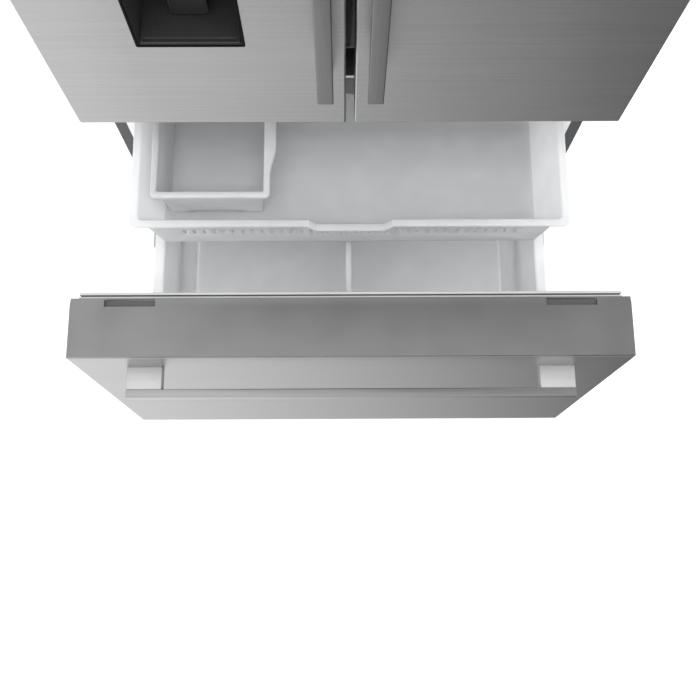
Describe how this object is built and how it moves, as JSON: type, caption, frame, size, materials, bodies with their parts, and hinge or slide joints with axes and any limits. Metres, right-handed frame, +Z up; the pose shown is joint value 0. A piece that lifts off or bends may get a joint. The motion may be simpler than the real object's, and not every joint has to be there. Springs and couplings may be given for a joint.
{
  "type": "french door refrigerator",
  "caption": "Refrigerator with two hinged upper doors, a water and ice dispenser, bar handles and a sliding bottom freezer drawer with a basket, bin and ice bucket.",
  "frame": {"origin": "centre of the footprint's bounding box on the floor, with the freezer drawer pulled out as stored", "axes": "+Z up, -Y out of the front of the doors, +X to the right of a person facing the doors"},
  "size_m": [0.908, 1.18, 1.775],
  "materials": {
    "painted_cabinet": "satin",
    "insulation": "matte",
    "galvanised": "satin",
    "white_liner": "gloss",
    "white_bin": "satin",
    "clear_bin": "clear",
    "door_steel": "brushed",
    "post_steel": "satin",
    "cap_grey": "satin",
    "gasket_rubber": "matte",
    "black_gloss": "gloss",
    "black_matte": "matte",
    "dark_grey": "matte",
    "slide_steel": "satin",
    "compressor_paint": "satin",
    "glass": "clear",
    "white_matte": "matte"
  },
  "bodies": {
    "cabinet": {"cabinet_shell": "painted_cabinet", "cabinet_foam": "insulation", "back_panel": "galvanised", "machine_cover": "dark_grey", "fridge_liner": "white_liner", "freezer_liner": "white_liner", "crossmember": "painted_cabinet", "base_frame": "galvanised", "toe_grille": "black_matte", "levelling_feet": "black_matte", "compressor": "compressor_paint", "condenser": "slide_steel", "water_valve": "white_matte", "top_hinges": "galvanised", "middle_hinges": "galvanised", "hinge_covers": "dark_grey", "shelf_tracks": "galvanised", "shelf_frames": "white_matte", "shelf_glass": "glass", "crisper_cover": "glass", "drawer_rails": "slide_steel", "basket_rails": "white_matte"},
    "left_door": {"left_door_skin": "door_steel", "left_door_core": "insulation", "left_door_panel": "white_liner", "left_door_gasket": "gasket_rubber", "left_handle_bar": "door_steel", "left_handle_posts": "post_steel", "left_door_bins": "clear_bin", "dispenser_frame": "black_gloss", "dispenser_recess": "black_matte", "dispenser_nozzle": "dark_grey", "dispenser_tray": "dark_grey"},
    "flipper": {"flipper_mullion": "black_matte"},
    "paddle": {"dispenser_paddle": "black_matte"},
    "right_door": {"right_door_skin": "door_steel", "right_door_core": "insulation", "right_door_panel": "white_liner", "right_door_gasket": "gasket_rubber", "right_handle_bar": "door_steel", "right_handle_posts": "post_steel", "right_door_bins": "clear_bin"},
    "drawer": {"drawer_skin": "door_steel", "drawer_top_cap": "cap_grey", "drawer_core": "insulation", "drawer_panel": "white_liner", "drawer_gasket": "gasket_rubber", "drawer_handle_bar": "door_steel", "drawer_handle_posts": "post_steel", "drawer_slides": "slide_steel", "lower_bin": "white_bin", "bin_divider": "white_bin"},
    "basket": {"upper_basket": "white_bin", "ice_bucket": "white_bin"},
    "slides": {"middle_slides": "slide_steel"},
    "crisper_left": {"left_crisper": "clear_bin"},
    "crisper_right": {"right_crisper": "clear_bin"},
    "rollers": {"rear_rollers": "black_matte"}
  },
  "joints": [
    {"name": "left_door_hinge", "type": "hinge", "parent": "cabinet", "child": "left_door", "pos_m": [-0.434, -0.058, 1.2], "axis": [0, 0, -1], "range_deg": [0, 120]},
    {"name": "right_door_hinge", "type": "hinge", "parent": "cabinet", "child": "right_door", "pos_m": [0.434, -0.058, 1.2], "axis": [0, 0, 1], "range_deg": [0, 120]},
    {"name": "freezer_drawer_slide", "type": "slide", "parent": "cabinet", "child": "drawer", "axis": [0, -1, 0], "range_m": [-0.405, 0.045]},
    {"name": "basket_slide", "type": "slide", "parent": "cabinet", "child": "basket", "axis": [0, -1, 0], "range_m": [-0.278, 0.031]},
    {"name": "middle_slide", "type": "slide", "parent": "cabinet", "child": "slides", "axis": [0, -1, 0], "range_m": [-0.2025, 0.0225]},
    {"name": "flipper_hinge", "type": "hinge", "parent": "left_door", "child": "flipper", "pos_m": [-0.038, -0.01, 1.2], "axis": [0, 0, 1], "range_deg": [0, 90]},
    {"name": "paddle_hinge", "type": "hinge", "parent": "left_door", "child": "paddle", "pos_m": [-0.2308, -0.0905, 1.0915], "axis": [1, 0, 0], "range_deg": [0, 9], "stiffness_Nm_per_rad": 0.5, "springref_deg": -5.73},
    {"name": "left_crisper_slide", "type": "slide", "parent": "cabinet", "child": "crisper_left", "axis": [0, -1, 0], "range_m": [0, 0.12]},
    {"name": "right_crisper_slide", "type": "slide", "parent": "cabinet", "child": "crisper_right", "axis": [0, -1, 0], "range_m": [0, 0.12]},
    {"name": "roller_spin", "type": "hinge", "parent": "cabinet", "child": "rollers", "pos_m": [0, 0.546, 0.022], "axis": [1, 0, 0], "continuous": true}
  ],
  "couplings": [
    {"joint": "basket_slide", "follows": "freezer_drawer_slide", "ratio": 0.6864},
    {"joint": "middle_slide", "follows": "freezer_drawer_slide", "ratio": 0.5},
    {"joint": "flipper_hinge", "follows": "left_door_hinge", "ratio": 0.75}
  ]
}
